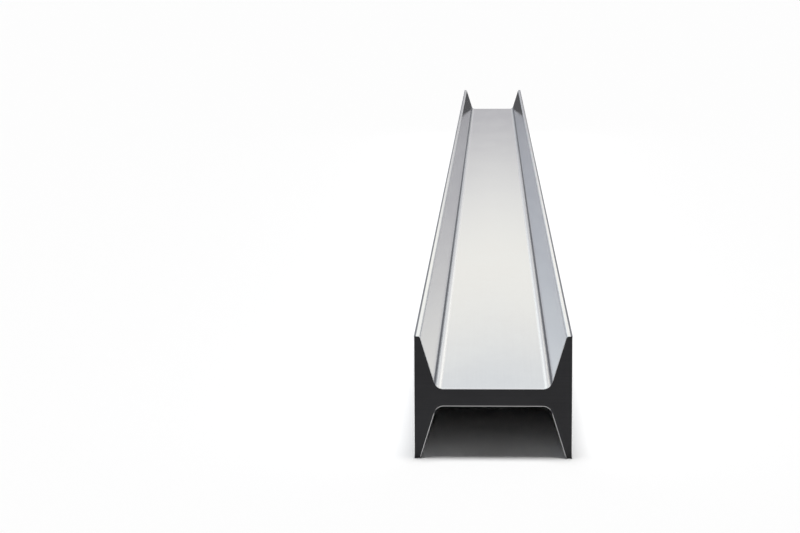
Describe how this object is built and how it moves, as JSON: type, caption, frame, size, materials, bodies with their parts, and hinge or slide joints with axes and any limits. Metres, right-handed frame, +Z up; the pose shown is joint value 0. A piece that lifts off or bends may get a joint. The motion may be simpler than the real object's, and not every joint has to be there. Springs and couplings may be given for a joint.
{
  "type": "steel h-beam",
  "caption": "Rolled steel H-beam with tapered flanges, sawn square at both ends: plain structural stock that carries load in bending.",
  "frame": {"origin": "on the floor under the middle of the beam", "axes": "+Z up, square to the web; +Y along the beam's length, towards the far sawn end; +X from one flange to the other"},
  "size_m": [0.225, 6, 0.177],
  "materials": {
    "rolled_steel": "bright satin skin left by the rolls, darker on the two sawn ends"
  },
  "bodies": {
    "root": {"h_beam": "rolled_steel"}
  },
  "joints": []
}
